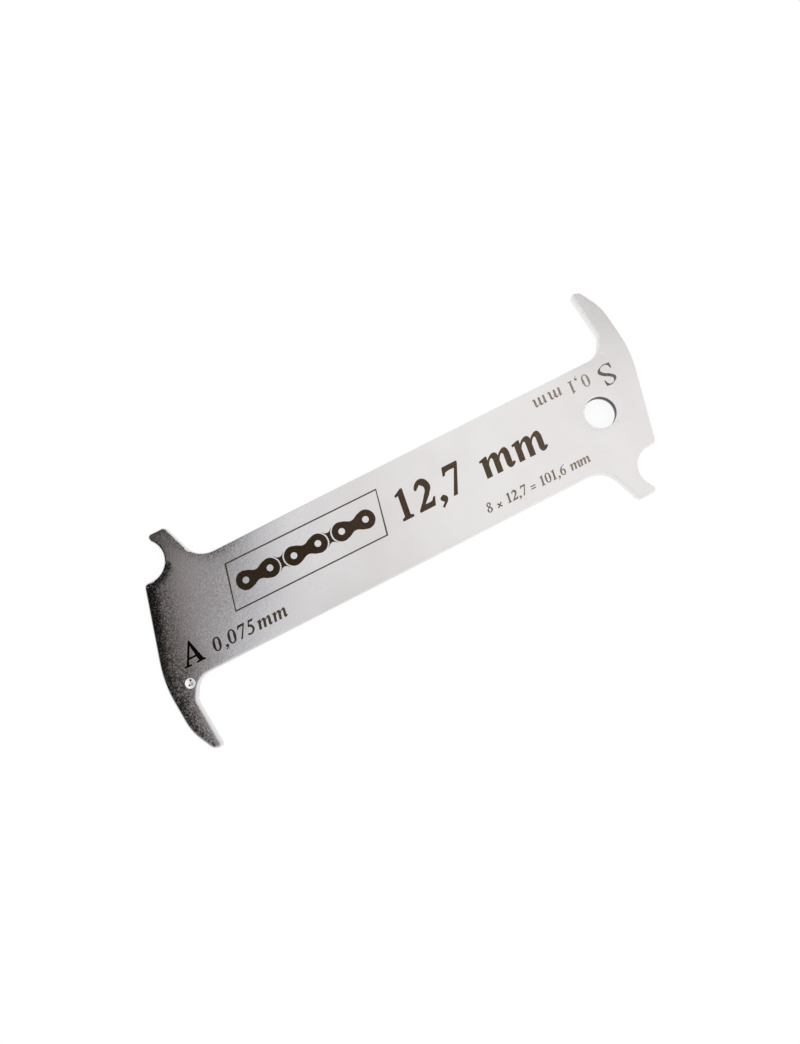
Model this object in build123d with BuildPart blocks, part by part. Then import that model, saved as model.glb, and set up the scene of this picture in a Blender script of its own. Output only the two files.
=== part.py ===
from build123d import *
from math import cos, radians, sin, tan
import os

os.makedirs("parts", exist_ok=True)

# A chain wear gauge: one flat punched steel plate, in millimetres.
# It lies on its back with the marked face up. X runs along the plate, and the
# origin is the middle of the lower face. Each long edge is one measure: a foot
# with a round notch sits over a chain roller, and the finger at the other end
# drops behind a roller further on once the chain has stretched far enough.

# The chain that is measured
chain_pitch = 12.7
pitches_spanned = 8
roller_diameter = 7.75
wear_a = 0.075  # stretch of one link that the A edge lets through
wear_s = 0.1  # stretch of one link that the S edge lets through

# The plate
plate_thickness = 2.0
body_width = 19.5
rim_round = 0.2  # the tumbled edges of the punched outline

# The round notch in the foot
notch_clearance = 0.125  # between the notch and the roller, at the radius
notch_wrap = 132.0  # degrees of the circle, from the body's edge to the lip
shelf_length = 1.5  # flat edge between the notch and the end of the plate
shelf_corner_radius = 0.9

# The foot that carries the notch
neck_width = 5.2  # from the foot's root to the bottom of the notch
lip_height = 1.37  # from the end of the notch to the foot's tip
lip_lead = 0.42  # the toe stands this much further out than the end of the notch
foot_tip_width = 3.75
foot_root_radius = 4.8
heel_radius = 0.9
toe_radius = 0.7

# The measuring finger, from its flank at the roller's line
flank_lead = 5.6  # the flank stands this much further out than the notch's roller
flank_lean = 4.9  # degrees, towards the middle of the plate
flank_start = 5.75  # from the roller's line down to where the flank begins
flank_start_radius = 23.0
flank_end_radius = 10.0
tip_height = 8.6
nose_height = 4.35  # from where the flank turns in up to the tip
tip_setback = 2.65
tip_width = 1.85
tip_rise = 0.65  # the tip's inner corner is higher than its outer one
tip_outer_radius = 1.4
tip_inner_radius = 0.6
undercut_setback = 3.65
undercut_depth = 0.35  # below the roller's line
undercut_radius = 1.8
finger_root_setback = 5.7
finger_root_radius = 3.7

# The hanging hole, and the test dimple beside the A finger
hole_diameter = 6.0
hole_inset = 10.5  # from the finger's flank to the hole's centre
dimple_diameter = 2.2
dimple_depth = 0.25
dimple_inset = 3.9  # from the finger's flank to the dimple's centre
dimple_below_edge = 0.4

# Worked out from the sizes above
half_width = body_width / 2
roller_radius = roller_diameter / 2
notch_radius = roller_radius + notch_clearance
roller_line = half_width + notch_radius
gauge_length_a = pitches_spanned * (chain_pitch + wear_a) - roller_radius
gauge_length_s = pitches_spanned * (chain_pitch + wear_s) - roller_radius
finger_reach = ((gauge_length_a + gauge_length_s) / 2 + flank_lead) / 2
flank_slope = tan(radians(flank_lean))
flank_end = tip_height - nose_height
lip_angle = 90 + notch_wrap
dimple_sphere_radius = ((dimple_diameter / 2) ** 2 + dimple_depth**2) / (2 * dimple_depth)


def half_plate(gauge_length):
    """The half from the plate's middle to its +X end: notch below, finger above.

    The notch stands one gauge length from the flank of the finger at the far end.
    """
    roller_x = gauge_length - finger_reach
    notch_x = roller_x + notch_clearance
    notch_bottom_x = notch_x - notch_radius
    lip = (
        notch_x + notch_radius * cos(radians(lip_angle)),
        -roller_line + notch_radius * sin(radians(lip_angle)),
    )
    toe = (lip[0] + lip_lead, lip[1] - lip_height)
    heel = (toe[0] - foot_tip_width, toe[1])
    foot_root = (notch_bottom_x - neck_width, -half_width)

    shelf_corner = (notch_x + shelf_length, -half_width)
    flank_low = (finger_reach + flank_start * flank_slope, roller_line - flank_start)
    flank_high = (finger_reach - flank_end * flank_slope, roller_line + flank_end)
    tip_outer = (finger_reach - tip_setback, roller_line + tip_height)
    tip_inner = (tip_outer[0] - tip_width, tip_outer[1] + tip_rise)
    undercut = (finger_reach - undercut_setback, roller_line - undercut_depth)
    finger_root = (finger_reach - finger_root_setback, half_width)

    with BuildSketch() as half:
        with BuildLine():
            foot = FilletPolyline(
                (0, -half_width), foot_root, heel, toe, lip,
                radius=(foot_root_radius, heel_radius, toe_radius),
            )
            notch = CenterArc((notch_x, -roller_line), notch_radius, lip_angle, -notch_wrap)
            finger = FilletPolyline(
                notch @ 1, shelf_corner, flank_low, flank_high, tip_outer, tip_inner,
                undercut, finger_root, (0, half_width),
                radius=(
                    shelf_corner_radius, flank_start_radius, flank_end_radius, tip_outer_radius,
                    tip_inner_radius, undercut_radius, finger_root_radius,
                ),
            )
            Line(finger @ 1, foot @ 0)
        make_face()
    return half.sketch


with BuildPart() as gauge_plate:
    # The +X end carries the A notch and the S finger. The -X end is the same
    # shape turned half round, with its notch set for the S measure.
    with BuildSketch() as outline:
        add(half_plate(gauge_length_a))
        add(half_plate(gauge_length_s), rotation=180)
    extrude(amount=plate_thickness)

    with Locations((finger_reach - hole_inset, 0, plate_thickness)):
        Hole(hole_diameter / 2)

    rims = gauge_plate.faces().filter_by(Axis.Z).edges()
    fillet(rims, rim_round)

    with Locations(
        (
            dimple_inset - finger_reach,
            -half_width - dimple_below_edge,
            plate_thickness - dimple_depth + dimple_sphere_radius,
        )
    ):
        Sphere(dimple_sphere_radius, mode=Mode.SUBTRACT)

gauge_plate.part.label = "gauge_plate"
export_step(gauge_plate.part, "parts/gauge_plate.step")

print(f"finger flank at {finger_reach:.3f} mm from the middle")
print(f"A notch roller at {gauge_length_a - finger_reach:.3f} mm")
print(f"S notch roller at {gauge_length_s - finger_reach:.3f} mm")
print(f"plate volume {gauge_plate.part.volume:.1f} cubic mm")
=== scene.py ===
# %% [markdown]
# A chain wear gauge, lying on a pale floor. The real thing is one flat plate of steel. It is punched
# out in one stroke, tumbled to take the burrs off, nickel plated, and then marked on one face. The
# plate is already modelled at its real size, so this lesson loads it and gives it its looks: the
# room that it mirrors, the rolled edges, the plating, and the dark marks on the face.

# %% Load the plate
from math import cos, radians, sin, tan

import bpy
from mathutils import Matrix, Vector
from mathutils.bvhtree import BVHTree
from mathutils.geometry import delaunay_2d_cdt


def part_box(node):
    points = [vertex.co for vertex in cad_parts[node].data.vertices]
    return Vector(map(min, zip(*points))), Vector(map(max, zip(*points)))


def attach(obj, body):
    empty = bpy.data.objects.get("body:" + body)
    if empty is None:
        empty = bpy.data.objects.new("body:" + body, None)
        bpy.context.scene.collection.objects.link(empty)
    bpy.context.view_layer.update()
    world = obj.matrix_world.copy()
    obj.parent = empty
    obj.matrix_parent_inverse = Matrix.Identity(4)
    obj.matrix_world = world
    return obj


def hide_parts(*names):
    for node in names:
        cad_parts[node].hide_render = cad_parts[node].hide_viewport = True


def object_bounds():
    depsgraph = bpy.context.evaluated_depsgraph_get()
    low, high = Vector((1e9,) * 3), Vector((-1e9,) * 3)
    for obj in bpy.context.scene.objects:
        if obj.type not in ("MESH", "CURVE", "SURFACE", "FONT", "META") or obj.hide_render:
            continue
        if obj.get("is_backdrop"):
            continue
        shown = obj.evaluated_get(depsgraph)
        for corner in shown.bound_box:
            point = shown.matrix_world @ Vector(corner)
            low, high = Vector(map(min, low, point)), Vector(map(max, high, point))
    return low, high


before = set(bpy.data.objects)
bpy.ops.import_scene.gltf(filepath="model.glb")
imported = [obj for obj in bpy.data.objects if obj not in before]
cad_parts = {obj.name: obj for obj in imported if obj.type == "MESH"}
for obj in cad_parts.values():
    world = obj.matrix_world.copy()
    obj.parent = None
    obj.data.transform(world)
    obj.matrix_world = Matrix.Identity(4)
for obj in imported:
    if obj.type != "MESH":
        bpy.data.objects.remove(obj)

mm = 0.001
cad_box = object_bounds()
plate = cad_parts["gauge_plate"]
plate_low, plate_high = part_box("gauge_plate")
face_height = plate_high.z
print(f"plate {(plate_high.x - plate_low.x) / mm:.2f} x {(plate_high.y - plate_low.y) / mm:.2f} mm")
print(f"marked face at {face_height / mm:.2f} mm")

# %% [markdown]
# The camera looks down on the plate from a hand's length above it, tilted by eight degrees. It is
# rolled, so that the plate runs across the picture from lower left to upper right. A constraint
# could aim the camera at a target, but the roll has to be exact as well. So the camera's three axes
# are written out, and its matrix is made from them.

# %% Camera
eye = Vector((-9.056, -22.474, 162.378)) * mm
look = Vector((0.04875, 0.13078, -0.99021)).normalized()
nearly_up = Vector((0.45279, 0.88078, 0.13862))
right = look.cross(nearly_up).normalized()
up = right.cross(look)

picture_height = 1044  # the long side of the photograph, in pixels
focal_length = 880  # in the same pixels
sensor_size = 36.0
nearest_seen = 5 * mm
farthest_seen = 10

bpy.ops.object.camera_add(location=eye)
camera = bpy.context.object
camera.name = "view_from_above"
camera.matrix_world = Matrix.Translation(eye) @ Matrix((right, up, -look)).transposed().to_4x4()
camera.data.sensor_width = sensor_size
camera.data.lens = focal_length / picture_height * sensor_size
camera.data.clip_start = nearest_seen
camera.data.clip_end = farthest_seen
bpy.context.scene.camera = camera
bpy.context.scene.view_settings.view_transform = "Standard"
print(f"lens {camera.data.lens:.2f} mm, {eye.z / mm:.0f} mm above the floor")

# %% [markdown]
# A material or a world is a tree of nodes. By hand they are added in the node editor. In a script
# each of them takes several lines, so the steps that come again and again are written once: add a
# node, fade between two numbers, turn a number into a colour, mix two colours, and multiply two
# numbers.

# %% Node helpers
def add_node(tree, kind, values=None, **settings):
    """Add a node, with its settings and the values of its sockets."""
    node = tree.nodes.new(kind)
    for name, value in settings.items():
        setattr(node, name, value)
    for socket, value in (values or {}).items():
        node.inputs[socket].default_value = value
    return node


def fade(tree, source, start, end, low=0.0, high=1.0):
    """Run smoothly from low to high while the source goes from start to end."""
    values = {"From Min": start, "From Max": end, "To Min": low, "To Max": high}
    node = add_node(tree, "ShaderNodeMapRange", values, interpolation_type="SMOOTHSTEP")
    tree.links.new(source, node.inputs["Value"])
    return node.outputs["Result"]


# %% Colour helpers
def tones(tree, source, stops):
    """Turn a number into a colour, by a list of numbers and their colours."""
    first, last = stops[0][0], stops[-1][0]
    fit = add_node(tree, "ShaderNodeMapRange", {"From Min": first, "From Max": last})
    tree.links.new(source, fit.inputs["Value"])
    node = add_node(tree, "ShaderNodeValToRGB")
    elements = node.color_ramp.elements
    elements.remove(elements[-1])
    elements[0].position = 0
    elements[0].color = (*stops[0][1], 1)
    for number, colour in stops[1:]:
        elements.new((number - first) / (last - first)).color = (*colour, 1)
    tree.links.new(fit.outputs["Result"], node.inputs["Fac"])
    return node.outputs["Color"]


def blend(tree, share, first, second, mode="MIX"):
    """Mix two colours, each of them a socket or a colour."""
    node = add_node(tree, "ShaderNodeMix", data_type="RGBA", blend_type=mode)
    for name, value in (("Factor", share), ("A", first), ("B", second)):
        sockets = [s for s in node.inputs if s.name == name and s.enabled]
        if isinstance(value, bpy.types.NodeSocket):
            tree.links.new(value, sockets[0])
        else:
            sockets[0].default_value = value
    return next(s for s in node.outputs if s.enabled)


def multiply(tree, first, second):
    """Multiply two numbers, each of them a socket."""
    node = add_node(tree, "ShaderNodeMath", operation="MULTIPLY")
    tree.links.new(first, node.inputs[0])
    tree.links.new(second, node.inputs[1])
    return node.outputs[0]


# %% [markdown]
# Nickel has hardly any colour of its own. What we see on the plate is the room above it: a pale
# ceiling, and on the left a wall that goes from grey to nearly black. Soft boxes could make that,
# but each would need its own place and size, so the room is painted on the world instead. In a
# world, the Generated coordinate is the direction of a ray. Two dot products turn it into two
# numbers: how far the ray leans away from the dark wall, roughly along the plate, and how far it
# leans across that. The wall isn't square to the plate, so both directions are turned a little.

# %% Directions in the room
away_from_wall = (0.974, -0.225, 0)
across_room = (0.225, 0.974, 0)

world = bpy.data.worlds.new("room")
bpy.context.scene.world = world
world.use_nodes = True
tree = world.node_tree
tree.nodes.clear()

ray = add_node(tree, "ShaderNodeTexCoord")
leans = []
for way in (away_from_wall, across_room):
    dot = add_node(tree, "ShaderNodeVectorMath", {1: way}, operation="DOT_PRODUCT")
    tree.links.new(ray.outputs["Generated"], dot.inputs[0])
    leans.append(dot.outputs["Value"])
along, across = leans
print(f"{len(leans)} directions in the room")

# %% [markdown]
# A colour ramp turns the first number into a grey, from the dark wall on the left to the brightest
# part of the ceiling on the right. The near half of the room darkens softly and the far half in two
# steps, so there are two ramps, and the second number picks between them. Both start pale again far
# out, near the horizon, for the punched sides of the plate. The wall also leans in at its near end,
# so there the first number drifts a little towards the dark.

# %% The near half of the wall
wall_drift = -0.018

drift = fade(tree, across, 0.08, 0.0, 0.0, wall_drift)
drift = multiply(tree, drift, fade(tree, along, -0.21, -0.25))
shifted = add_node(tree, "ShaderNodeMath", operation="ADD")
tree.links.new(along, shifted.inputs[0])
tree.links.new(drift, shifted.inputs[1])
near_room = tones(tree, shifted.outputs[0], [
    (-0.80, (1.00, 1.00, 1.00)),
    (-0.64, (0.90, 0.90, 0.90)),
    (-0.50, (0.020, 0.016, 0.012)),
    (-0.277, (0.015, 0.012, 0.008)),
    (-0.270, (0.030, 0.023, 0.016)),
    (-0.265, (0.046, 0.037, 0.028)),
    (-0.260, (0.090, 0.074, 0.059)),
    (-0.255, (0.165, 0.138, 0.118)),
    (-0.250, (0.265, 0.228, 0.218)),
    (-0.240, (0.320, 0.278, 0.280)),
    (-0.227, (0.385, 0.355, 0.372)),
    (-0.210, (0.495, 0.478, 0.505)),
    (-0.190, (0.625, 0.622, 0.645)),
    (-0.170, (0.770, 0.770, 0.805)),
    (-0.150, (0.845, 0.840, 0.865)),
    (-0.100, (0.905, 0.890, 0.885)),
    (-0.04, (0.905, 0.880, 0.875)),
    (0.025, (0.985, 0.955, 0.950)),
    (0.14, (1.065, 1.045, 1.045)),
    (0.29, (1.095, 1.060, 1.055)),
    (0.45, (1.20, 1.18, 1.17)),
])
print(f"the near half has {len(tree.nodes)} nodes")

# %% The far half of the wall
near_until, far_from = 0.05, 0.10  # how far across the near ramp and the far ramp hold

far_room = tones(tree, along, [
    (-0.80, (1.00, 1.00, 1.00)),
    (-0.64, (0.80, 0.80, 0.80)),
    (-0.50, (0.010, 0.009, 0.008)),
    (-0.2585, (0.005, 0.004, 0.003)),
    (-0.255, (0.025, 0.020, 0.014)),
    (-0.252, (0.075, 0.062, 0.048)),
    (-0.249, (0.130, 0.110, 0.092)),
    (-0.243, (0.245, 0.215, 0.200)),
    (-0.238, (0.345, 0.308, 0.302)),
    (-0.231, (0.390, 0.355, 0.358)),
    (-0.210, (0.395, 0.370, 0.380)),
    (-0.190, (0.412, 0.393, 0.407)),
    (-0.170, (0.525, 0.515, 0.540)),
    (-0.150, (0.670, 0.665, 0.695)),
    (-0.130, (0.815, 0.810, 0.835)),
    (-0.100, (0.965, 0.960, 0.970)),
    (-0.02, (0.970, 0.940, 0.940)),
    (0.075, (1.08, 1.055, 1.055)),
    (0.175, (1.115, 1.090, 1.090)),
    (0.40, (1.110, 1.080, 1.075)),
])
room = blend(tree, fade(tree, across, near_until, far_from), near_room, far_room)
print(f"both halves have {len(tree.nodes)} nodes")

# %% [markdown]
# The far left corner of the room is dark too, behind a slanted edge: this is what the foot and the
# notch of the left end mirror. Past both ends of the dark wall the room is pale again, so that the
# plate still looks like metal when it is seen from its sides.

# %% The corner and the ends of the wall
corner_slant = 0.45  # how far its edge moves across for each step along
corner_start, corner_full = 0.060, 0.076
corner_colour = (0.085, 0.077, 0.070, 1)
pale_colour = (0.80, 0.80, 0.82, 1)
wall_ends = ((-0.05, -0.15), (0.28, 0.40))  # how far across each begins, and is full

slanted = add_node(tree, "ShaderNodeMath", {1: corner_slant}, operation="MULTIPLY_ADD")
tree.links.new(along, slanted.inputs[0])
tree.links.new(across, slanted.inputs[2])
in_corner = fade(tree, slanted.outputs[0], corner_start, corner_full)
corner = multiply(tree, in_corner, fade(tree, along, -0.14, -0.20))
room = blend(tree, corner, room, corner_colour, "DARKEN")
for start, end in wall_ends:
    beyond = multiply(tree, fade(tree, across, start, end), fade(tree, along, 0.0, -0.26))
    room = blend(tree, beyond, room, pale_colour)
print(f"{len(wall_ends)} pale ends")

# %% [markdown]
# The far side of the room is a wall as well. On the right it is darker than the ceiling, and on the
# left a little brighter, so it is a factor that the picture so far is multiplied with. A second
# factor makes all low walls greyer. The punched sides of the plate mirror them, and would burn out
# white without it.

# %% The far side and the low walls
right_start, right_full = 0.17, 0.29  # how far along its right part begins, and is full
low_start, low_full = 0.7, 0.4  # how far up the ray still points
low_grey = 0.8

far_left = tones(tree, across, [
    (0.20, (1, 1, 1)),
    (0.40, (1.12, 1.12, 1.12)),
    (0.70, (1.15, 1.15, 1.15)),
])
far_right = tones(tree, across, [
    (0.16, (1, 1, 1)),
    (0.235, (0.94, 0.94, 0.94)),
    (0.265, (0.84, 0.84, 0.84)),
    (0.295, (0.75, 0.75, 0.75)),
    (0.34, (0.66, 0.66, 0.66)),
    (0.45, (0.76, 0.76, 0.76)),
    (0.70, (1.10, 1.10, 1.10)),
])
far_wall = blend(tree, fade(tree, along, right_start, right_full), far_left, far_right)
room = blend(tree, 1.0, room, far_wall, "MULTIPLY")

split = add_node(tree, "ShaderNodeSeparateXYZ")
tree.links.new(ray.outputs["Generated"], split.inputs[0])
low_walls = fade(tree, split.outputs["Z"], low_start, low_full, 1.0, low_grey)
room = blend(tree, 1.0, room, low_walls, "MULTIPLY")
print(f"with its sides the room has {len(tree.nodes)} nodes")

# %% [markdown]
# The plate mirrors this room, but the picture behind it is plain white. Light Path tells the two
# apart: a camera ray that hits nothing sees white, and every other ray sees the room.

# %% Fill the world
ceiling = add_node(tree, "ShaderNodeBackground", {"Strength": 1.0})
tree.links.new(room, ceiling.inputs["Color"])
white = add_node(tree, "ShaderNodeBackground", {"Color": (1, 1, 1, 1), "Strength": 1.0})
path = add_node(tree, "ShaderNodeLightPath")
seen = add_node(tree, "ShaderNodeMixShader")
tree.links.new(path.outputs["Is Camera Ray"], seen.inputs["Fac"])
tree.links.new(ceiling.outputs[0], seen.inputs[1])
tree.links.new(white.outputs[0], seen.inputs[2])
output = add_node(tree, "ShaderNodeOutputWorld")
tree.links.new(seen.outputs[0], output.inputs["Surface"])
print(f"the world has {len(tree.nodes)} nodes")

# %% [markdown]
# The plate lies on white paper. A lit floor would need so much light to come out white that the
# plate would burn out, so most of what the camera and the mirrors see of this floor is a plain white
# of its own. The rest is ordinary paper, and that keeps the faint shadow under the plate.

# %% Floor
floor_size = 4
floor_gap = 0.02 * mm
paper_white = 0.9
glow_strength = 1.08
glow_share = 0.8

bpy.ops.mesh.primitive_plane_add(size=floor_size, location=(0, 0, -floor_gap))
floor = bpy.context.object
floor.name = "floor"
floor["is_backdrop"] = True

paper = bpy.data.materials.new("white_paper")
paper.use_nodes = True
tree = paper.node_tree
tree.nodes.clear()
matt_colour = (paper_white, paper_white, paper_white, 1)
matt = add_node(tree, "ShaderNodeBsdfDiffuse", {"Color": matt_colour})
glow = add_node(tree, "ShaderNodeEmission", {"Color": (1, 1, 1, 1), "Strength": glow_strength})
path = add_node(tree, "ShaderNodeLightPath")
either = add_node(tree, "ShaderNodeMath", operation="MAXIMUM")
tree.links.new(path.outputs["Is Camera Ray"], either.inputs[0])
tree.links.new(path.outputs["Is Glossy Ray"], either.inputs[1])
share = add_node(tree, "ShaderNodeMath", {1: glow_share}, operation="MULTIPLY")
tree.links.new(either.outputs[0], share.inputs[0])
mixed = add_node(tree, "ShaderNodeMixShader")
tree.links.new(share.outputs[0], mixed.inputs["Fac"])
tree.links.new(matt.outputs[0], mixed.inputs[1])
tree.links.new(glow.outputs[0], mixed.inputs[2])
output = add_node(tree, "ShaderNodeOutputMaterial")
tree.links.new(mixed.outputs[0], output.inputs["Surface"])
floor.data.materials.append(paper)
print(f"floor {floor_gap / mm} mm below the plate")

# %% [markdown]
# A punch pulls the sheet down a little before it cuts. So the marked face isn't flat right up to its
# edge: over the last two millimetres or so it rolls down by a few hundredths of a millimetre. In a
# mirror finish even that is easy to see, as a dark or a bright band along the outline. The loaded
# plate has a flat face, and its mesh has no corners in the middle of it that could be lowered. A
# bump in the material could fake the slope, but real geometry keeps it in the mesh too. So
# the plate is copied, its loose triangles are merged, and the big flat face is taken out, to be
# filled again with a finer net.

# %% Copy the plate and open its face
weld_gap = 0.0005 * mm  # corners nearer than this are merged
level = 0.9999  # the upward part of a level face's normal
place_play = 0.001 * mm  # how far a corner may stand from its place


def only(thing):
    """Select one object alone."""
    bpy.ops.object.select_all(action="DESELECT")
    thing.select_set(True)
    bpy.context.view_layer.objects.active = thing


def merge_doubles():
    """Merge the corners of the active mesh that lie on each other."""
    bpy.ops.object.mode_set(mode="EDIT")
    bpy.ops.mesh.select_all(action="SELECT")
    bpy.ops.mesh.remove_doubles(threshold=weld_gap)
    bpy.ops.mesh.select_all(action="DESELECT")
    bpy.ops.object.mode_set(mode="OBJECT")


skin = bpy.data.objects.new("nickel_plate", plate.data.copy())
bpy.context.scene.collection.objects.link(skin)
only(skin)
bpy.ops.mesh.customdata_custom_splitnormals_clear()
merge_doubles()
whole = BVHTree.FromPolygons(
    [corner.co for corner in skin.data.vertices], [face.vertices for face in skin.data.polygons]
)
bpy.ops.object.mode_set(mode="EDIT")
bpy.ops.mesh.select_mode(type="FACE")
bpy.ops.object.mode_set(mode="OBJECT")
for face in skin.data.polygons:
    face.select = face.normal.z > level and face.center.z > face_height - place_play
bpy.ops.object.mode_set(mode="EDIT")
bpy.ops.mesh.delete(type="FACE")
bpy.ops.object.mode_set(mode="OBJECT")
print(f"{len(skin.data.polygons)} faces left round the opening")

# %% [markdown]
# The edges round the opening are of very different lengths: short in the curves, and up to 44 mm on
# the straights. Each is cut in half until none is long, so that the net meets them with triangles
# of one size.

# %% Cut the long edges
longest_edge = 0.45 * mm


def open_edges(mesh):
    """List the edges that only one face uses, in the order of that face's corners."""
    users = {}
    for face in mesh.polygons:
        for pair in face.edge_keys:
            users.setdefault(pair, []).append(face)
    found = []
    for (a, b), faces in users.items():
        if len(faces) == 1:
            ring = list(faces[0].vertices)
            follows = ring[(ring.index(a) + 1) % len(ring)] == b
            found.append((a, b) if follows else (b, a))
    return found


def edge_length(mesh, pair):
    """Measure an edge that is given by its two corners."""
    return (mesh.vertices[pair[0]].co - mesh.vertices[pair[1]].co).length


while True:
    mesh = skin.data
    too_long = {
        tuple(sorted(pair)) for pair in open_edges(mesh) if edge_length(mesh, pair) > longest_edge
    }
    if not too_long:
        break
    bpy.ops.object.mode_set(mode="EDIT")
    bpy.ops.mesh.select_mode(type="EDGE")
    bpy.ops.mesh.select_all(action="DESELECT")
    bpy.ops.object.mode_set(mode="OBJECT")
    for edge in skin.data.edges:
        edge.select = tuple(sorted(edge.vertices)) in too_long
    bpy.ops.object.mode_set(mode="EDIT")
    bpy.ops.mesh.subdivide(number_cuts=1)
    bpy.ops.object.mode_set(mode="OBJECT")
rim_edges = open_edges(skin.data)
print(f"{len(rim_edges)} edges round the opening")

# %% [markdown]
# The new net is made of points on the flat face. Rows of them follow the outline, close together
# near the edge, where the slope changes fast, and a coarse grid fills the middle. Two small tools
# help: one measures how far a point is from the nearest punched wall, and one tells whether the
# plate's face is under the point or one of its holes.

# %% Measure on the face
upright = 0.1  # the upward part of a punched wall's normal is below this

corners = [corner.co.copy() for corner in skin.data.vertices]
wall_faces = [list(face.vertices) for face in skin.data.polygons if abs(face.normal.z) < upright]
walls = BVHTree.FromPolygons(corners, wall_faces)


def nearest_wall(x, y):
    """Give the distance to the nearest punched wall, and the way there."""
    here = Vector((x, y, face_height / 2))
    place, _, _, distance = walls.find_nearest(here)
    return distance, (place - here).normalized()


def on_face(x, y):
    """Tell whether the flat face is under a point, and not the hole or the dimple."""
    place, normal, _, _ = whole.ray_cast(Vector((x, y, 2 * face_height)), Vector((0, 0, -1)))
    return place is not None and normal.z > level


print(f"the middle is {nearest_wall(0, 0)[0] / mm:.2f} mm from a wall")

# %% Lay out the net
rim = 0.2 * mm  # the tumbled round between the face and the walls
rows = [step * mm for step in (0.22, 0.5, 0.85, 1.25, 1.7, 2.2)]
crowding = 0.97  # a point nearer to a wall than this share of its row is left out
grid_step = 1.6 * mm
grid_gap = 0.5 * grid_step  # between the last row and the grid

inwards = {}
for a, b in rim_edges:
    run = (corners[b] - corners[a]).normalized()
    for corner in (a, b):
        inwards[corner] = inwards.get(corner, Vector()) + Vector((run.y, -run.x, 0))

order = {corner: place for place, corner in enumerate(inwards)}
net = [corners[corner].xy / mm for corner in inwards]
rim_pairs = [(order[a], order[b]) for a, b in rim_edges]
for row in rows:
    for corner, inward in inwards.items():
        spot = corners[corner] + inward.normalized() * row
        if on_face(spot.x, spot.y) and nearest_wall(spot.x, spot.y)[0] > rim + crowding * row:
            net.append(spot.xy / mm)

column_count = int((plate_high.x - plate_low.x) / grid_step)
line_count = int((plate_high.y - plate_low.y) / grid_step)
for column in range(column_count):
    for line in range(line_count):
        x = plate_low.x + (column + 0.5) * grid_step
        y = plate_low.y + (line + 0.5) * grid_step
        if on_face(x, y) and nearest_wall(x, y)[0] > rim + rows[-1] + grid_gap:
            net.append(Vector((x, y)) / mm)
print(f"{len(net)} points in the net")

# %% [markdown]
# Delaunay's rule joins the points into triangles as even as they can be, and keeps the edges of the
# opening. It also fills the hanging hole and the dimple, so the triangles that lie there are left
# out. The filled face is joined to the rest, and where they meet the corners are merged, which
# closes the mesh again.

# %% Fill the face
inside_only = 1  # keep the triangles that lie within the given edges
nearest_points = 1e-5  # those nearer are one, in millimetres, as the net is
points, _, triangles, *_ = delaunay_2d_cdt(net, rim_pairs, [], inside_only, nearest_points)
kept = []
for triangle in triangles:
    middle = sum((points[corner] for corner in triangle), Vector((0, 0))) / 3 * mm
    if on_face(middle.x, middle.y):
        kept.append(triangle)

face_mesh = bpy.data.meshes.new("marked_face")
face_mesh.from_pydata([(p.x * mm, p.y * mm, face_height) for p in points], [], kept)
marked_face = bpy.data.objects.new("marked_face", face_mesh)
bpy.context.scene.collection.objects.link(marked_face)
only(skin)
marked_face.select_set(True)
bpy.ops.object.join()
merge_doubles()
print(f"{len(skin.data.polygons)} faces, {len(open_edges(skin.data))} open edges")

# %% [markdown]
# Now the edge can be rolled down. Each corner near a wall is lowered by the cube of its nearness, so
# the slope starts at nothing and is steepest at the rim. Tumbling and a hand on the belt are never
# even, so each side takes its own share of the depth. The flank of the left end and the notch above
# it are rolled the most, and the other sides hardly at all.

# %% How deep each side is rolled
roll_width = 2.4 * mm
roll_depth = 0.045 * mm
body_side = 9.75 * mm  # from the middle of the plate to its long edges

notch_low, notch_high = 8 * mm, 12.5 * mm
notch_right = -42.5 * mm
shelf_right = -46.5 * mm  # the shelf is the short flat edge between the notch and the flank
shelf_share = 1.4
notch_share = 0.9
flank_share = 1.3  # in the middle of the flank
flank_growth = 0.06 / mm  # upwards, so that there is less on the finger
flank_least, flank_most = 0.45, 1.75
upper_share = 0.1  # on the foot and the finger above the body
lower_share = 0.15
body_share = 0.2


def roll_share(x, y, way):
    """Give the share of the full roll at a point, from the way to its nearest wall."""
    wall_above = way.y > 0.5 and way.x < 0.1
    wall_at_left = way.x < -0.6
    if notch_low < y < notch_high and x < notch_right and wall_above:
        return shelf_share if x < shelf_right else notch_share
    if y > body_side:
        return upper_share
    if wall_at_left:
        return min(max(flank_share + flank_growth * y, flank_least), flank_most)
    if y < -body_side:
        return lower_share
    return body_share


print(f"the flank rolls by up to {flank_share * roll_depth / mm:.3f} mm in its middle")

# %% Roll the edges down
deepest = 0.0
for corner in skin.data.vertices:
    if corner.co.z < face_height / 2:
        continue
    distance, way = nearest_wall(corner.co.x, corner.co.y)
    if distance > roll_width:
        continue
    follows = 1.0  # on the rounded rim a corner follows the less, the lower it lies
    if distance < rim + place_play:
        follows = min(max((corner.co.z - (face_height - rim)) / rim, 0), 1)
    drop = roll_depth * roll_share(corner.co.x, corner.co.y, way) * (1 - distance / roll_width) ** 3
    corner.co.z -= drop * follows
    deepest = max(deepest, drop * follows)
print(f"the roll is {deepest / mm:.3f} mm deep where it is deepest")

# %% [markdown]
# Smooth shading lets the reflections run on over the rounded rims, and keeps an edge only where two
# faces meet steeply. The lip of the small dimple is too flat for that, but on the real plate it is
# crisp. So its edges are found by their place and marked as sharp.

# %% Shade the skin
smooth_up_to = radians(50)
finger_reach = 52.0125 * mm  # from the middle of the plate to the flank of a finger
dimple_inset = 3.9 * mm  # from the flank of the A finger
dimple_below_edge = 0.4 * mm
dimple_centre = Vector((dimple_inset - finger_reach, -body_side - dimple_below_edge))
lip_radius = 1.1 * mm
lip_play = 0.05 * mm

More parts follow.
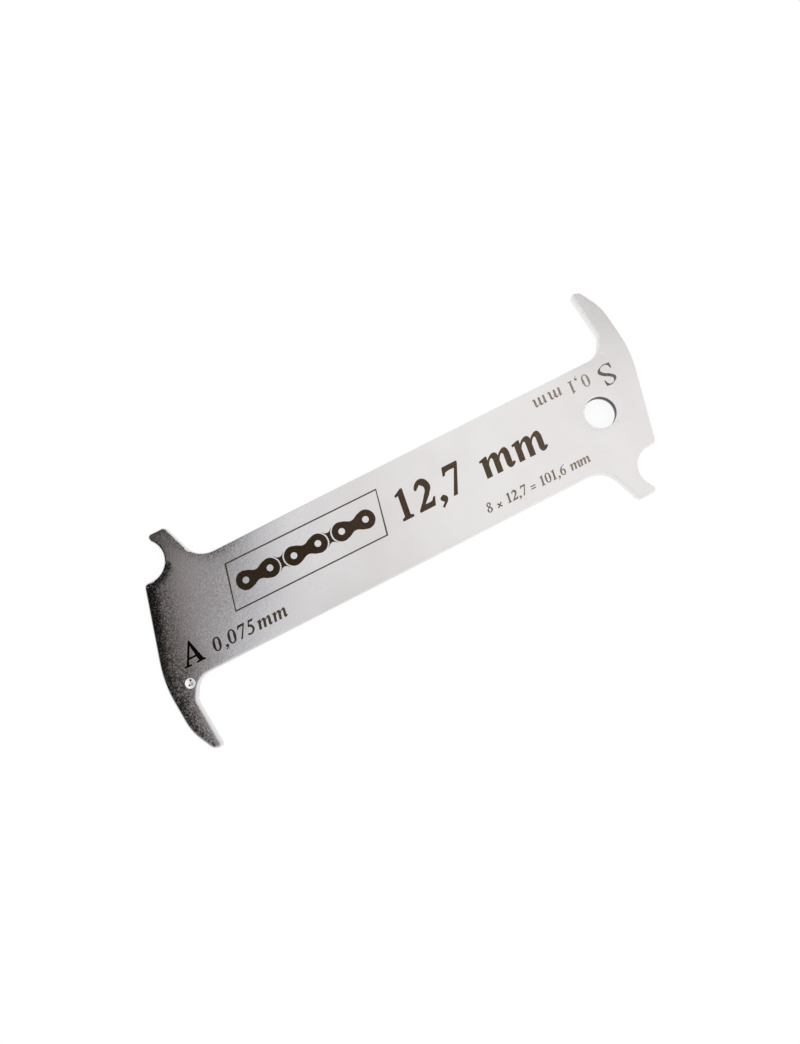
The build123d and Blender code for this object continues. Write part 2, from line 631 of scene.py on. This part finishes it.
only(skin)
bpy.ops.object.shade_smooth_by_angle(angle=smooth_up_to)
lip_edges = 0
for edge in skin.data.edges:
    ends = [skin.data.vertices[corner].co for corner in edge.vertices]
    at_lip = [abs((end.xy - dimple_centre).length - lip_radius) < lip_play for end in ends]
    if all(at_lip) and min(end.z for end in ends) > face_height - lip_play:
        edge.use_edge_sharp = True
        lip_edges += 1
print(f"{lip_edges} sharp edges round the dimple")

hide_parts("gauge_plate")
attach(skin, "root")
print(f"face top at {max(corner.co.z for corner in skin.data.vertices) / mm:.3f} mm")

# %% [markdown]
# The plating is a thin coat of nickel over tumbled steel. It is a mirror, but not a clean one: under
# it the steel is pitted like an orange skin, and the pits break the picture of the room up into
# grain. One noise texture, as fine as the pits, drives a bump for that. A second one sets the
# roughness, so that there are dull specks, and towards the A end it makes the metal spotty too,
# darker here and paler there. A third, large one clouds the tint a little. All of them read the
# Object coordinate, so they stay on the metal.

# %% Nickel
pit_size = 0.3 * mm
pit_depth = 0.0021 * mm
speck_size = 0.27 * mm
polished, dull = 0.065, 0.165  # the roughness between the specks and in them
dark_spot, pale_spot = 0.84, 1.16
spots_start, spots_full = -18 * mm, -42 * mm  # along the plate
cloud_size = 6 * mm
dim_nickel = (0.712, 0.705, 0.703, 1)
bright_nickel = (0.733, 0.727, 0.727, 1)

nickel = bpy.data.materials.new("satin_nickel")
nickel.use_nodes = True
tree = nickel.node_tree
tree.nodes.clear()
place = add_node(tree, "ShaderNodeTexCoord")
pits = add_node(tree, "ShaderNodeTexNoise", {"Scale": 1 / pit_size, "Detail": 1.5})
specks = add_node(tree, "ShaderNodeTexNoise", {"Scale": 1 / speck_size, "Detail": 1.0})
clouds = add_node(tree, "ShaderNodeTexNoise", {"Scale": 1 / cloud_size, "Detail": 4.0})
for noise in (pits, specks, clouds):
    tree.links.new(place.outputs["Object"], noise.inputs["Vector"])
bump = add_node(tree, "ShaderNodeBump", {"Strength": 1.0, "Distance": pit_depth})
tree.links.new(pits.outputs["Fac"], bump.inputs["Height"])
metal = add_node(tree, "ShaderNodeBsdfPrincipled", {"Metallic": 1.0})
dull_specks = fade(tree, specks.outputs["Fac"], 0.3, 0.8, polished, dull)
tree.links.new(dull_specks, metal.inputs["Roughness"])
cloudy = fade(tree, clouds.outputs["Fac"], 0.35, 0.65)
tint = blend(tree, cloudy, dim_nickel, bright_nickel)
spots = fade(tree, specks.outputs["Fac"], 0.3, 0.7, dark_spot, pale_spot)
split = add_node(tree, "ShaderNodeSeparateXYZ")
tree.links.new(place.outputs["Object"], split.inputs[0])
spotted_end = fade(tree, split.outputs["X"], spots_start, spots_full)
tint = blend(tree, spotted_end, tint, spots, "MULTIPLY")
tree.links.new(tint, metal.inputs["Base Color"])
tree.links.new(bump.outputs["Normal"], metal.inputs["Normal"])
output = add_node(tree, "ShaderNodeOutputMaterial")
tree.links.new(metal.outputs[0], output.inputs["Surface"])
skin.data.materials.clear()
skin.data.materials.append(nickel)
print(f"nickel has {len(tree.nodes)} nodes")

# %% [markdown]
# Three places have another finish than the face, so each has a material of its own on the faces that
# lie there. The first is the tumbled rims and the punched walls. They are finely scratched, which a
# fine noise shows in the tint. Towards the S end they are duller, and their tint is paler there as a
# painted highlight, so a fade along the plate drives both.

# %% The rims
def make_metal(name, roughness=0.3):
    """Start a metal, and give its node tree, its shader and the coordinate that it reads."""
    made = bpy.data.materials.new(name)
    made.use_nodes = True
    tree = made.node_tree
    tree.nodes.clear()
    place = add_node(tree, "ShaderNodeTexCoord").outputs["Object"]
    metal = add_node(tree, "ShaderNodeBsdfPrincipled", {"Metallic": 1.0, "Roughness": roughness})
    output = add_node(tree, "ShaderNodeOutputMaterial")
    tree.links.new(metal.outputs[0], output.inputs["Surface"])
    skin.data.materials.append(made)
    return tree, metal, place


scratch_size = 0.2 * mm
scratch_colours = ((0.68, 0.675, 0.675, 1), (0.77, 0.765, 0.765, 1))
dull_and_sheen_start, dull_and_sheen_full = -20 * mm, 20 * mm  # along the plate
# a paler tint towards the S end: a painted highlight on the rims
painted_sheen_colour = (0.93, 0.92, 0.92, 1)
fresh_roughness, worn_roughness = 0.25, 0.6

tree, metal, place = make_metal("tumbled_rim")
scratches = add_node(tree, "ShaderNodeTexNoise", {"Scale": 1 / scratch_size, "Detail": 3.0})
tree.links.new(place, scratches.inputs["Vector"])
tint = blend(tree, scratches.outputs["Fac"], *scratch_colours)
split = add_node(tree, "ShaderNodeSeparateXYZ")
tree.links.new(place, split.inputs[0])
dull_and_sheen = fade(tree, split.outputs["X"], dull_and_sheen_start, dull_and_sheen_full)
tint = blend(tree, dull_and_sheen, tint, painted_sheen_colour)
tree.links.new(tint, metal.inputs["Base Color"])
duller = fade(tree, dull_and_sheen, 0, 1, fresh_roughness, worn_roughness)
tree.links.new(duller, metal.inputs["Roughness"])
print(f"the rims have {len(tree.nodes)} nodes")

# %% [markdown]
# The small dimple is where a ball was pressed in to test how hard the steel is. It is a tiny dish of
# bright, crushed metal. Its dark lip is painted shade, and its two dark specks are painted
# reflections of dark things that the dish mirrors. Each of these is made from the distance to a
# point: the lip comes in where it is large, and a speck where it is small.

# %% The dimple
crushed_colours = ((0.84, 0.83, 0.83, 1), (0.96, 0.95, 0.95, 1))
lip_shade_start, lip_shade_full = 0.88 * mm, 1.04 * mm  # from the dimple's centre
# the dark ring round the lip is painted shade
lip_shade_colour = (0.13, 0.12, 0.115, 1)
# the two dark specks in the dish are painted reflections
reflection_dots = ((-47.9, -9.65, 0.2), (-48.45, -10.4, 0.17))  # x, y and radius in millimetres
reflection_depth = 0.2 * mm
reflection_edge, reflection_core = 1.4, 0.7  # in radii, where it begins and where it is full
reflection_colour = (0.03, 0.03, 0.03, 1)

tree, metal, place = make_metal("pressed_dimple")
crushed = add_node(tree, "ShaderNodeTexNoise", {"Scale": 1 / scratch_size, "Detail": 3.0})
tree.links.new(place, crushed.inputs["Vector"])
tint = blend(tree, crushed.outputs["Fac"], *crushed_colours)


def distance_to(tree, place, point):
    """Add a node that measures how far the place is from a point."""
    gap = add_node(tree, "ShaderNodeVectorMath", {1: point}, operation="DISTANCE")
    tree.links.new(place, gap.inputs[0])
    return gap.outputs["Value"]


from_centre = distance_to(tree, place, (*dimple_centre, face_height))
tint = blend(tree, fade(tree, from_centre, lip_shade_start, lip_shade_full), tint, lip_shade_colour)
for x, y, radius in reflection_dots:
    from_reflection_dot = distance_to(tree, place, (x * mm, y * mm, face_height - reflection_depth))
    reflection_dot = fade(tree, from_reflection_dot, reflection_edge * radius * mm, reflection_core * radius * mm)
    tint = blend(tree, reflection_dot, tint, reflection_colour)
tree.links.new(tint, metal.inputs["Base Color"])
print(f"the dimple has {len(tree.nodes)} nodes")

# %% [markdown]
# The punch tears the wall of the hanging hole. The upper part of the wall is painted dark, as shade
# in the hole, and near the back it is smoother and brighter. The tears run through the sheet: a
# Mapping node draws the noise out along Z for that.

# %% The torn wall of the hole
tear_size = 0.15 * mm
tear_stretch = 0.15
# dark tints with tears in them: painted shade on the upper wall of the hole
torn_and_shade_colours = ((0.02, 0.02, 0.022, 1), (0.10, 0.10, 0.11, 1))
torn_and_shade_start, torn_and_shade_full = 0.2 * mm, 0.7 * mm  # above the back of the plate
smooth_colour = (0.62, 0.62, 0.62, 1)

tree, metal, place = make_metal("torn_shaded_steel", 0.45)
stretch = add_node(tree, "ShaderNodeMapping", {"Scale": (1, 1, tear_stretch)})
tree.links.new(place, stretch.inputs["Vector"])
tears = add_node(tree, "ShaderNodeTexNoise", {"Scale": 1 / tear_size, "Detail": 2.0})
tree.links.new(stretch.outputs["Vector"], tears.inputs["Vector"])
dark = blend(tree, tears.outputs["Fac"], *torn_and_shade_colours)
split = add_node(tree, "ShaderNodeSeparateXYZ")
tree.links.new(place, split.inputs[0])
torn_and_shade_share = fade(tree, split.outputs["Z"], torn_and_shade_start, torn_and_shade_full)
tint = blend(tree, torn_and_shade_share, smooth_colour, dark)
tree.links.new(tint, metal.inputs["Base Color"])
print([material.name for material in skin.data.materials])

# %% [markdown]
# By hand, faces are selected and assigned to a material slot. Here each face gets its slot by where
# it lies and how steep it is.

# %% Place the finishes
nickel_slot, rim_slot, dimple_slot, hole_wall_slot = range(4)
hole_inset = 10.5 * mm  # from the flank of the S finger
hole_centre = Vector((finger_reach - hole_inset, 0))
hole_reach = 3.25 * mm  # its radius, its rounded rim and a little play
wall_level = 0.6  # the upward part of the normal is below this on its wall
dimple_reach = 1.12 * mm
dish_play = 0.003 * mm  # the dish lies at least this far below the face
dish_level = 0.8  # and its normal points up by more than this
rim_level = 0.985  # on a rim or a wall the normal points up by less than this

place_counts = [0, 0, 0, 0]
for face in skin.data.polygons:
    flatness = abs(face.normal.z)
    in_rim = flatness < rim_level or nearest_wall(*face.center.xy)[0] < rim
    if (face.center.xy - hole_centre).length < hole_reach and flatness < wall_level:
        face.material_index = hole_wall_slot
    elif (face.center.xy - dimple_centre).length < dimple_reach:
        if face.center.z < face_height - dish_play and face.normal.z > dish_level:
            face.material_index = dimple_slot
    elif in_rim:
        face.material_index = rim_slot
    place_counts[face.material_index] += 1
print(f"faces left as nickel: {place_counts[nickel_slot]}")
print(f"faces of the rims, the dimple and the torn wall: {place_counts[rim_slot:]}")

# %% [markdown]
# The marks are letters and figures with serifs, leaning to the right. Blender's own font has no
# serifs, and a script can't count on other fonts being there, so the outlines are given one by one.
# Each is a list of points for a Bezier curve, in units of the figure's height, with a ~ before the
# points that the curve runs through smoothly. The others are corners. A further list is a hole, or
# the second bar of the equals sign.

# %% Outlines of the letters
glyphs = {
    "0": ["~.31,0 ~.62,.5 ~.31,1 ~0,.5", "~.31,.07 ~.175,.5 ~.31,.93 ~.445,.5"],
    "1": [".03,0 .4,0 .4,.045 .3,.09 .3,1 .25,1 .02,.87 .02,.83 .13,.855 .13,.09 .03,.045"],
    "2": [
        ".02,0 .55,0 .62,.26 .585,.26 .52,.165 ~.45,.15 .21,.15 .46,.42 ~.58,.71 ~.33,1 "
        "~.06,.74 .1,.73 .25,.87 ~.4,.69 ~.28,.4 .02,.045"
    ],
    "5": [
        ".19,1 .55,1 .51,.86 .235,.86 .205,.7 .4,.62 ~.55,.36 ~.45,.09 ~.2,0 ~.02,.06 "
        "~.06,.14 ~.21,.075 ~.37,.18 ~.41,.33 ~.33,.49 .1,.575"
    ],
    "6": [
        ".56,1 ~.19,.82 ~.02,.36 ~.3,0 ~.58,.31 ~.39,.61 .2,.55 ~.32,.83 .58,.95",
        "~.3,.07 ~.17,.27 ~.31,.52 ~.43,.29",
    ],
    "7": [".03,.74 .07,.74 .13,.83 ~.22,.85 .49,.85 .17,0 .28,0 .6,.95 .6,1 .08,1"],
    "8": [
        "~.31,1 ~.53,.79 ~.41,.55 ~.58,.27 ~.3,0 ~.02,.25 ~.19,.53 ~.08,.77",
        "~.3,.93 ~.4,.77 ~.31,.61 ~.2,.78",
        "~.31,.45 ~.43,.25 ~.3,.065 ~.16,.25",
    ],
    ",": [".12,.17 ~.01,.08 ~.085,-.01 ~.11,-.03 .01,-.17 .035,-.205 ~.225,.06"],
    "x": [
        "0,.08 .08,0 .25,.17 .42,0 .5,.08 .33,.25 .5,.42 .42,.5 .25,.33 .08,.5 0,.42 .17,.25"
    ],
    "=": ["0,.42 .5,.42 .5,.51 0,.51", "0,.17 .5,.17 .5,.26 0,.26"],
    "m": [
        ".08,0 .25,0 .25,.38 ~.33,.52 ~.42,.565 .47,.49 .47,0 .64,0 .64,.38 ~.72,.52 ~.81,.565 "
        ".86,.49 .86,.11 ~.93,0 ~1.02,0 1.13,.08 1.1,.12 1.03,.09 1.03,.5 ~.94,.67 "
        "~.77,.62 .64,.48 ~.62,.6 ~.54,.67 ~.38,.62 .25,.48 .25,.665 .21,.665 0,.61 0,.575 "
        ".08,.57"
    ],
    "A": [
        "0,0 .33,0 .33,.04 .215,.065 .305,.27 .665,.27 .7,.065 .57,.04 .57,0 .98,0 .98,.04 "
        ".9,.065 .64,1 .595,1 .12,.065 0,.04",
        ".3375,.335 .655,.335 .576,.812",
    ],
    "S": [
        ".64,.98 .36,1 ~.06,.76 ~.22,.53 ~.47,.37 ~.58,.21 ~.35,.05 ~.16,.12 ~.09,.29 .05,.29 "
        ".04,.02 .08,.03 .36,0 ~.73,.25 ~.55,.5 ~.31,.64 ~.2,.79 ~.36,.95 ~.53,.88 ~.61,.7 "
        ".645,.7"
    ],
}
print(f"{len(glyphs)} letters and figures drawn")

# %% [markdown]
# One helper starts an empty curve, one draws outlines into it, one writes a row of figures, and one
# makes the finished curve a thin solid that is sunk a hair into the face and stands a hair proud of
# it. The curve is drawn in millimetres and made small afterwards, because Blender fills a curve this
# small badly.

# %% Start and draw a curve
def start_marks(name, weight, smoothness=8):
    """Add an empty flat curve and leave it open. The weight makes its strokes wider."""
    bpy.ops.object.select_all(action="DESELECT")
    bpy.ops.curve.primitive_bezier_curve_add(location=(0, 0, 0))
    marks = bpy.context.object
    marks.name = name
    marks.data.dimensions = "2D"
    marks.data.fill_mode = "BOTH"
    marks.data.resolution_u = smoothness
    marks.data.offset = weight
    bpy.ops.object.mode_set(mode="EDIT")
    bpy.ops.curve.select_all(action="SELECT")
    bpy.ops.curve.delete(type="VERT")
    return marks


def draw(marks, outlines, at, height=1.0, lean=0.0, turned=False):
    """Draw closed outlines into the open curve, with their lower left at a place."""
    way = -1 if turned else 1
    slope = tan(radians(lean))
    for outline in outlines:
        words = outline.split()
        bpy.ops.curve.select_all(action="DESELECT")
        for word in words:
            x, y = (float(number) * height for number in word.strip("~").split(","))
            bpy.ops.curve.vertex_add(location=(at[0] + way * (x + slope * y), at[1] + way * y, 0))
        bpy.ops.curve.cyclic_toggle(direction="CYCLIC_U")
        spline = marks.data.splines[-1]
        for kind, smooth in (("VECTOR", False), ("AUTOMATIC", True)):
            bpy.ops.curve.select_all(action="DESELECT")
            for point, word in zip(spline.bezier_points, words):
                if word.startswith("~") == smooth:
                    point.select_control_point = True
                    point.select_left_handle = True
                    point.select_right_handle = True
            bpy.ops.curve.handle_type_set(type=kind)


def write(marks, text, lefts, base, height, lean, turned=False):
    """Write figures in a row, each with its left side at its own place."""
    for letter, left in zip(text, lefts):
        draw(marks, glyphs[letter], (left, base), height, lean, turned)


# %% Make it solid
mark_rise = 0.012  # above the face, in millimetres
mark_sink = 0.012  # below it


def finish_marks(marks):
    """Make the open curve a thin solid in the plate's face."""
    bpy.ops.object.mode_set(mode="OBJECT")
    marks.data.extrude = (mark_rise + mark_sink) / 2
    only(marks)
    bpy.ops.object.convert(target="MESH")
    marks = bpy.context.object
    marks.location.z = face_height + (mark_rise - mark_sink) / 2 * mm
    marks.scale = (mm, mm, mm)
    bpy.ops.object.transform_apply(location=True, rotation=True, scale=True)
    bpy.ops.object.mode_set(mode="EDIT")
    bpy.ops.mesh.select_all(action="SELECT")
    bpy.ops.mesh.remove_doubles(threshold=weld_gap)
    bpy.ops.mesh.normals_make_consistent(inside=False)
    bpy.ops.object.mode_set(mode="OBJECT")
    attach(marks, "root")
    print(f"{marks.name}: {len(marks.data.polygons)} faces, {len(open_edges(marks.data))} open edges")
    return marks


print(f"marks will stand {mark_rise} mm above the face")

# %% [markdown]
# The letters A and S name the two edges, and the small figures beside them are the stretch of one
# link that each edge tests for. They are where they are on the real plate. The S edge is used with
# the plate turned half round, so its marks stand on their heads.

# %% The A edge
letter_a = start_marks("mark_a", weight=0.05)
draw(letter_a, glyphs["A"], (-47.85, -7.4), height=4.25)
letter_a = finish_marks(letter_a)

figures_a = start_marks("mark_a_stretch", weight=0.038)
write(
    figures_a, "0,075mm", [-41.85, -39.55, -38.85, -36.9, -35.05, -32.95, -29.9],
    base=-7.25, height=2.5, lean=12.5,
)
figures_a = finish_marks(figures_a)

# %% The S edge
letter_s = start_marks("mark_s", weight=0.0)
draw(letter_s, glyphs["S"], (47.75, 7.9), height=4.15, turned=True)
letter_s = finish_marks(letter_s)

figures_s = start_marks("mark_s_stretch", weight=0.0)
write(
    figures_s, "0,1mm", [42.9, 40.75, 39.75, 37.15, 33.95],
    base=7.87, height=2.45, lean=6, turned=True,
)
figures_s = finish_marks(figures_s)

# %% [markdown]
# The large figures in the middle are the pitch of the chain that the gauge is for, and the small line
# under them is the length it measures over: eight links and their sum.

# %% Pitch
pitch_mark = start_marks("mark_pitch", weight=0.11, smoothness=12)
write(pitch_mark, "12,7mm", [-0.6, 3.0, 7.4, 9.1, 16.6, 23.4], base=-1.45, height=5.6, lean=8)
pitch_mark = finish_marks(pitch_mark)

# %% Length
length_mark = start_marks("mark_length", weight=0.028, smoothness=5)
write(
    length_mark, "8x12,7=101,6mm",
    [14.0, 16.1, 18.2, 19.2, 20.55, 21.1, 23.15, 25.2, 26.2, 27.6, 28.7, 29.3, 31.4, 33.4],
    base=-7.35, height=1.85, lean=10,
)
length_mark = finish_marks(length_mark)

# %% [markdown]
# The framed sign to the left of them shows what the tool is for: a piece of roller chain, seen from
# the side. An outer link is one outline with a waist, and its two pins are holes in it. Of an inner
# link only the waist shows between two outer ones. The frame is a thin line round it.

# %% The sign
link_count = 5
link_pitch = 4.9
link_radius = 1.85
pin_radius = 0.62
waist = 1.0
gap_width = 0.27  # between an inner link and the outer ones
gap_radius = link_radius + gap_width
chain_start = (-31.1, 2.05)


def arc(radius, start, end, count, centre_x=0.0):
    """List points on an arc about a pin, from one angle to another."""
    words = []
    for step in range(count):
        angle = radians(start + (end - start) * step / (count - 1))
        words.append(f"~{centre_x + radius * cos(angle):.4f},{radius * sin(angle):.4f}")
    return " ".join(words)


def corner_arc(*settings):
    """List such points with a sharp corner at either end."""
    words = arc(*settings).split()
    words[0] = words[0].strip("~")
    words[-1] = words[-1].strip("~")
    return " ".join(words)


outer_link = [
    f"{arc(link_radius, 60, 300, 7)} ~{link_pitch / 2},{-waist} "
    f"{arc(link_radius, -120, 120, 7, link_pitch)} ~{link_pitch / 2},{waist}",
    arc(pin_radius, 0, 315, 8),
    arc(pin_radius, 0, 315, 8, link_pitch),
]
inner_link = [
    f"{corner_arc(gap_radius, 50, -50, 5)} ~{link_pitch / 2},{-waist} "
    f"{corner_arc(gap_radius, 230, 130, 5, link_pitch)} ~{link_pitch / 2},{waist}"
]
sign = start_marks("mark_chain", weight=0, smoothness=6)
for link in range(link_count):
    kind = inner_link if link % 2 else outer_link
    draw(sign, kind, (chain_start[0] + link * link_pitch, chain_start[1]))
sign = finish_marks(sign)

# %% The frame
frame_line = 0.27
frame_corners = [(-33.34, 6.58), (-2.26, 6.31), (-4.18, -2.51), (-35.33, -2.35)]
middle = Vector((sum(x for x, _ in frame_corners) / 4, sum(y for _, y in frame_corners) / 4))
frame_outlines = []
for inset in (0, frame_line):
    words = []
    for x, y in frame_corners:
        x -= inset if x > middle.x else -inset
        y -= inset if y > middle.y else -inset
        words.append(f"{x},{y}")
    frame_outlines.append(" ".join(words))
sign_frame = start_marks("mark_frame", weight=0, smoothness=2)
draw(sign_frame, frame_outlines, (0, 0))
sign_frame = finish_marks(sign_frame)

# %% [markdown]
# The marks are burnt on with a laser or printed in a dark brown ink. Both are thin. The big strokes
# cover the metal well, and the fine ones let some of it through, so they look paler and browner.
# And the whole print fades from black at the A end to brown at the S end; this fade is painted shade,
# where the plate mirrors the dark side of the room. A ramp along the plate's length gives that, and
# the fine marks have a paler ramp of their own. A fine noise makes both a little uneven.

# %% Ink
ink_grain = 0.25 * mm
thick_ink, thin_ink = 0.75, 1.6  # what the ink's colour is multiplied with


def make_ink(name, stops):
    """Make an ink whose colour changes along the plate."""
    ink = bpy.data.materials.new(name)
    ink.use_nodes = True
    tree = ink.node_tree
    tree.nodes.clear()
    place = add_node(tree, "ShaderNodeTexCoord")
    split = add_node(tree, "ShaderNodeSeparateXYZ")
    tree.links.new(place.outputs["Object"], split.inputs[0])
    shade = tones(tree, split.outputs["X"], stops)
    grain = add_node(tree, "ShaderNodeTexNoise", {"Scale": 1 / ink_grain, "Detail": 2.0})
    tree.links.new(place.outputs["Object"], grain.inputs["Vector"])
    uneven = fade(tree, grain.outputs["Fac"], 0.35, 0.7, thick_ink, thin_ink)
    shade = blend(tree, 1.0, shade, uneven, "MULTIPLY")
    body = add_node(
        tree, "ShaderNodeBsdfPrincipled", {"Roughness": 0.6, "Specular IOR Level": 0.03}
    )
    tree.links.new(shade, body.inputs["Base Color"])
    output = add_node(tree, "ShaderNodeOutputMaterial")
    tree.links.new(body.outputs[0], output.inputs["Surface"])
    print(f"{name} has {len(tree.nodes)} nodes")
    return ink


# %% Two inks
# near black at the A end, brown at the S end: painted shade along the plate
strong_ink = make_ink("strong_ink", [
    (-48 * mm, (0.001, 0.0006, 0.0003)),
    (-42 * mm, (0.003, 0.002, 0.001)),
    (-36 * mm, (0.026, 0.018, 0.011)),
    (-20 * mm, (0.030, 0.020, 0.011)),
    (5 * mm, (0.070, 0.047, 0.031)),
    (30 * mm, (0.098, 0.071, 0.050)),
    (48 * mm, (0.165, 0.130, 0.115)),
])
# the fine marks' paler ramp carries the same painted shade
fine_ink = make_ink("fine_ink", [
    (-42 * mm, (0.022, 0.016, 0.010)),
    (-28 * mm, (0.070, 0.054, 0.036)),
    (5 * mm, (0.120, 0.092, 0.062)),
    (30 * mm, (0.250, 0.200, 0.150)),
    (48 * mm, (0.290, 0.250, 0.215)),
])
strong_marks = (letter_a, letter_s, pitch_mark, sign)
fine_marks = (figures_a, figures_s, length_mark, sign_frame)
for ink, marks in ((strong_ink, strong_marks), (fine_ink, fine_marks)):
    for mark in marks:
        mark.data.materials.clear()
        mark.data.materials.append(ink)

# %% [markdown]
# Last, the finished part is measured against the plate that it was made on. The marks stand a hair
# above the plate.

# %% Measure
visual_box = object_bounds()
past_plate = [round((v - c) / mm, 3) for c, v in zip(cad_box[1], visual_box[1])]
print(f"past the plate by {past_plate} mm")
